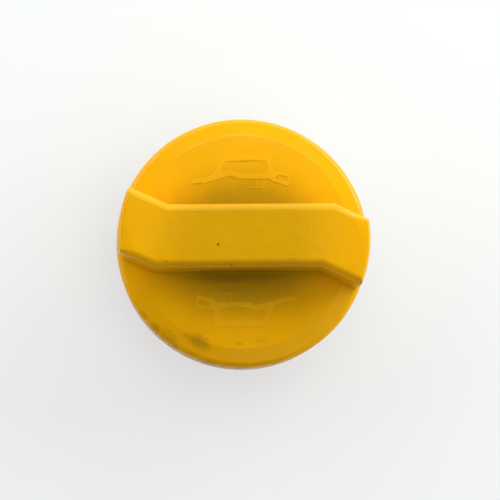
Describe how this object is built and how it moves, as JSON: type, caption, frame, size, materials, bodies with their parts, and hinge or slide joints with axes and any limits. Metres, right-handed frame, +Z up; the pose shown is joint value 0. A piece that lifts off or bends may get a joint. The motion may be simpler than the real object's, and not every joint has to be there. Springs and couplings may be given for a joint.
{
  "type": "oil filler cap",
  "caption": "Round bayonet oil filler cap with a bent grip bar across its face, a hollow neck with ramped lugs and a rubber sealing ring.",
  "frame": {"origin": "centre of the open end of the neck, on which the cap stands", "axes": "+Z up along the neck to the grip bar, +X along the straight middle of the bar"},
  "size_m": [0.06, 0.06, 0.0311],
  "materials": {
    "yellow_plastic": "glossy moulded plastic, lightly soiled",
    "black_rubber": "matt moulded rubber"
  },
  "bodies": {
    "root": {"cap": "yellow_plastic", "seal_ring": "black_rubber"}
  },
  "joints": []
}
